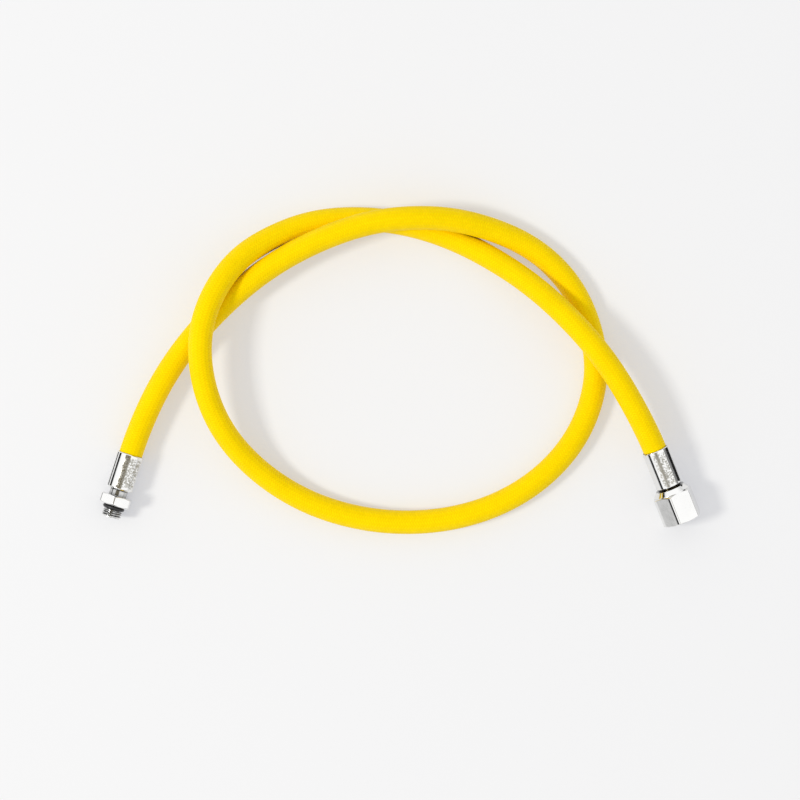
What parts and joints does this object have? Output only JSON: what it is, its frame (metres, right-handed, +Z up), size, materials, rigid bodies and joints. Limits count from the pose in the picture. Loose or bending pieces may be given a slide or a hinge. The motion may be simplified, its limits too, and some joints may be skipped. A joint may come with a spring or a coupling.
{
  "type": "braided low-pressure hose assembly",
  "caption": "Flexible yellow braided hose lying in a loose overhand loop, with a threaded male fitting on one end and a swivel nut on the other.",
  "frame": {"origin": "on the floor, at the bottom centre of the box round the two end fittings", "axes": "+X from the male end to the female end, +Y towards the top of the hose's loop, +Z up from the floor it lies on"},
  "size_m": [0.2814, 0.1531, 0.0277],
  "materials": {
    "yellow_braid": "tight braided yarn with a slight sheen",
    "polyester_yarn": "matte braided yarn",
    "clear_liner": "smooth flexible polymer",
    "chromed_brass": "polished chrome plating",
    "machined_brass": "fine machined brass",
    "black_nitrile": "smooth black rubber"
  },
  "bodies": {
    "hose_assembly": {"hose_outer_jacket": "yellow_braid", "hose_reinforcement_braid": "polyester_yarn", "hose_inner_tube": "clear_liner", "male_body": "chromed_brass", "male_ferrule": "chromed_brass", "male_thread_oring": "black_nitrile", "female_stem": "machined_brass", "female_ferrule": "chromed_brass", "spigot_oring": "black_nitrile"},
    "swivel_nut": {"swivel_nut": "chromed_brass"}
  },
  "joints": [
    {"name": "nut_swivel", "type": "hinge", "parent": "hose_assembly", "child": "swivel_nut", "pos_m": [0.12951, -0.00939, 0.01056], "axis": [0.3754, -0.9163, -0.1392], "continuous": true}
  ]
}
